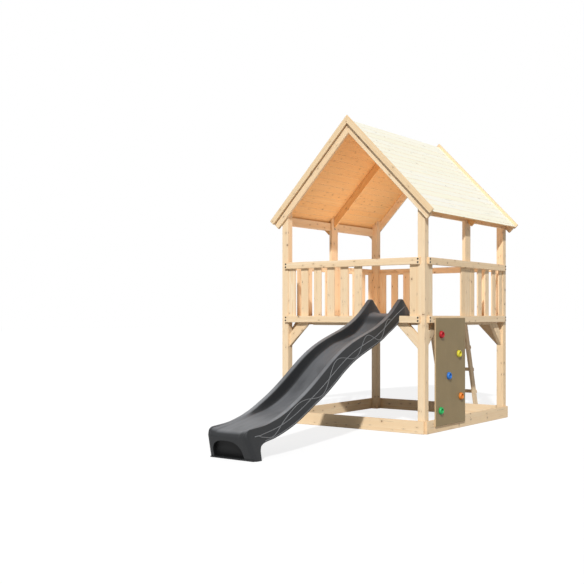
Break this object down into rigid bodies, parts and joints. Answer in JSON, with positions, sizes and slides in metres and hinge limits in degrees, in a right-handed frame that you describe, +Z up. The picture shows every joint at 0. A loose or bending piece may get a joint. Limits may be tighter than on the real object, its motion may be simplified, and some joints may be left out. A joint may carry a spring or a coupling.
{
  "type": "play tower",
  "caption": "Wooden play tower on four posts: raised railed floor under a pitched board roof, with a wave slide, a climbing panel with holds, a ladder and a sand pit frame.",
  "frame": {"origin": "middle of the whole object's outline on the ground, the slide and the ladder included", "axes": "+Z up; the slide leaves towards -Y and the ladder stands at +Y; the climbing panel is on the +X side"},
  "size_m": [2.272, 5.26, 3.6638],
  "materials": {
    "pine": "planed, untreated softwood, with knots",
    "floor_pine": "planed softwood in the shade of the roof",
    "pine_pale": "planed, pale softwood",
    "panel_board": "smooth grey-brown film-faced board, with bare layered edges",
    "plastic_red": "moulded, slightly grained",
    "plastic_yellow": "moulded, slightly grained",
    "plastic_blue": "moulded, slightly grained",
    "plastic_orange": "moulded, slightly grained",
    "plastic_green": "moulded, slightly grained",
    "plastic_grey": "satin, through-coloured moulding"
  },
  "bodies": {
    "root": {"post_front_left": "pine", "post_front_right": "pine", "post_back_left": "pine", "post_back_right": "pine", "base_board_front": "pine", "base_board_back": "pine", "base_board_left": "pine", "base_board_right": "pine", "skirt_board_front": "pine", "skirt_board_back": "pine", "skirt_board_left": "pine", "skirt_board_right": "pine", "railing_front": "pine", "railing_back": "pine", "railing_left": "pine", "railing_right": "pine", "knee_brace_front_left": "pine", "knee_brace_front_right": "pine", "knee_brace_back_left": "pine", "knee_brace_back_right": "pine", "knee_brace_left_front": "pine", "knee_brace_left_back": "pine", "knee_brace_right_front": "pine", "knee_brace_right_back": "pine", "floor_beam_front": "pine", "floor_beam_back": "pine", "floor_beam_left": "pine", "floor_beam_right": "pine", "floor_joist_left": "pine", "floor_joist_middle": "pine", "floor_joist_right": "pine", "floor_boards": "floor_pine", "mid_post_left": "pine", "mid_post_right": "pine", "eaves_beam_left": "pine", "eaves_beam_right": "pine", "rafter_front_left": "pine", "rafter_front_right": "pine", "rafter_middle_left": "pine", "rafter_middle_right": "pine", "rafter_back_left": "pine", "rafter_back_right": "pine", "barge_board_front_left": "pine_pale", "barge_board_front_right": "pine_pale", "barge_board_back_left": "pine_pale", "barge_board_back_right": "pine_pale", "roof_boards_left": "pine_pale", "roof_boards_right": "pine_pale", "ladder_rail_left": "pine", "ladder_rail_right": "pine", "ladder_rung_low": "pine", "ladder_rung_middle": "pine", "ladder_rung_high": "pine", "climbing_panel": "panel_board", "hold_red": "plastic_red", "hold_yellow": "plastic_yellow", "hold_blue": "plastic_blue", "hold_orange": "plastic_orange", "hold_green": "plastic_green", "slide": "plastic_grey"}
  },
  "joints": []
}
